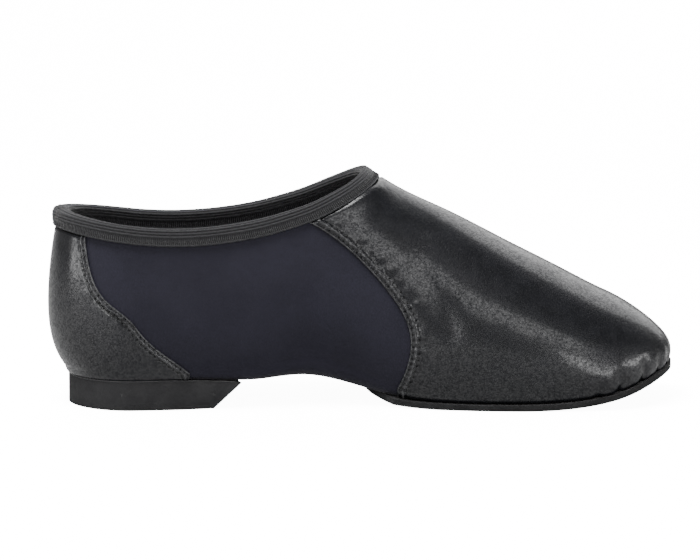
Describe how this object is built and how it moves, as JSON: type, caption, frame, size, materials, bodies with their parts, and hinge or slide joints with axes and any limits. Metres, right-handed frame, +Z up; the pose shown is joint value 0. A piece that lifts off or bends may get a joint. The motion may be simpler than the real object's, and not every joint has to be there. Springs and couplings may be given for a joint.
{
  "type": "jazz shoe",
  "caption": "Slip-on jazz dance shoe: stretch neoprene arch, leather vamp and heel counter, elastic topline binding, forefoot sole and low heel block.",
  "frame": {"origin": "on the floor under the middle of the shoe's bounding box", "axes": "+X from heel to toe, +Y to the outer (lateral) side of the left foot, +Z up"},
  "size_m": [0.245, 0.0841, 0.0912],
  "materials": {
    "neoprene": "matte blue-black stretch neoprene with knit lining",
    "leather": "soft glossy black grained leather",
    "elastic": "ribbed charcoal elastic",
    "insole_lining": "black cloth over foam",
    "sole_suede": "matte black split leather",
    "heel_rubber": "matte charcoal rubber"
  },
  "bodies": {
    "root": {"upper": "neoprene", "vamp": "leather", "heel_counter": "leather", "collar_binding": "elastic", "insole": "insole_lining", "forefoot_sole": "sole_suede", "heel": "heel_rubber"}
  },
  "joints": []
}
